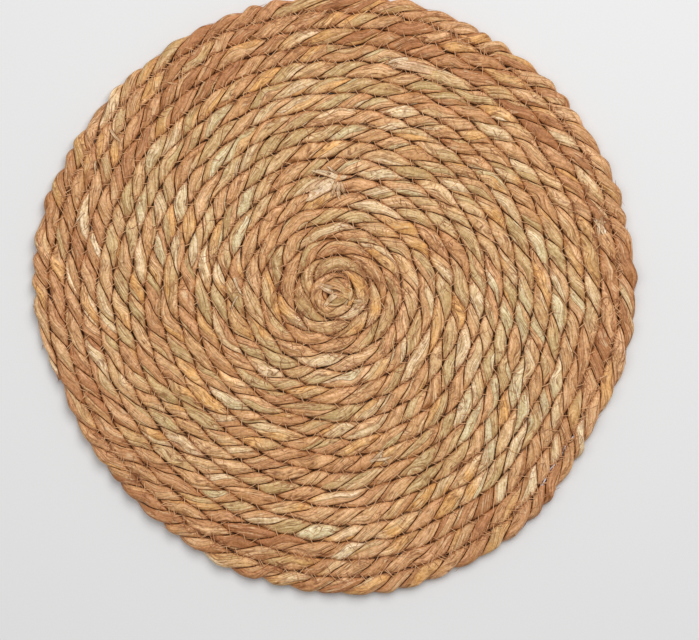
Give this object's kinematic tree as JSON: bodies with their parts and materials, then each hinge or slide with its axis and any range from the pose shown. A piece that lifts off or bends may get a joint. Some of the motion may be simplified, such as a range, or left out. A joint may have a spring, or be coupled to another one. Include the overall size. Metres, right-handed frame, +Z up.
{
  "type": "chair seat pad",
  "caption": "Round chair seat pad of two-strand straw rope laid in a flat spiral and joined turn to turn by a zigzag seam.",
  "frame": {"origin": "middle of the pad's underside, on the surface that the pad lies on", "axes": "+Z up out of the top side; +X and +Y lie in the plane of the pad, and the rope's outer end lies 197 degrees round from +X"},
  "size_m": [0.4021, 0.3962, 0.0112],
  "materials": {
    "mixed_straw": "dry twisted straw leaf in tan, grey-green and cream, matt with a slight waxy sheen",
    "ripe_straw": "dry twisted straw leaf in reddish tan, matt with a slight waxy sheen",
    "sewing_thread": "thin twisted thread, matt",
    "pale_thread": "flattened pale thread, slight sheen",
    "leaf_ends": "frayed dry leaf, matt"
  },
  "bodies": {
    "root": {"inner_length_upper_strand": "mixed_straw", "inner_length_lower_strand": "mixed_straw", "second_length_upper_strand": "mixed_straw", "second_length_lower_strand": "mixed_straw", "third_length_upper_strand": "mixed_straw", "third_length_lower_strand": "mixed_straw", "fourth_length_upper_strand": "ripe_straw", "fourth_length_lower_strand": "ripe_straw", "outer_length_upper_strand": "ripe_straw", "outer_length_lower_strand": "ripe_straw", "needle_thread": "sewing_thread", "bobbin_thread": "sewing_thread", "finishing_thread": "pale_thread", "first_splice_leaf_ends": "leaf_ends", "second_splice_leaf_ends": "leaf_ends", "third_splice_leaf_ends": "leaf_ends", "fourth_splice_leaf_ends": "leaf_ends", "loose_leaves": "leaf_ends"}
  },
  "joints": []
}
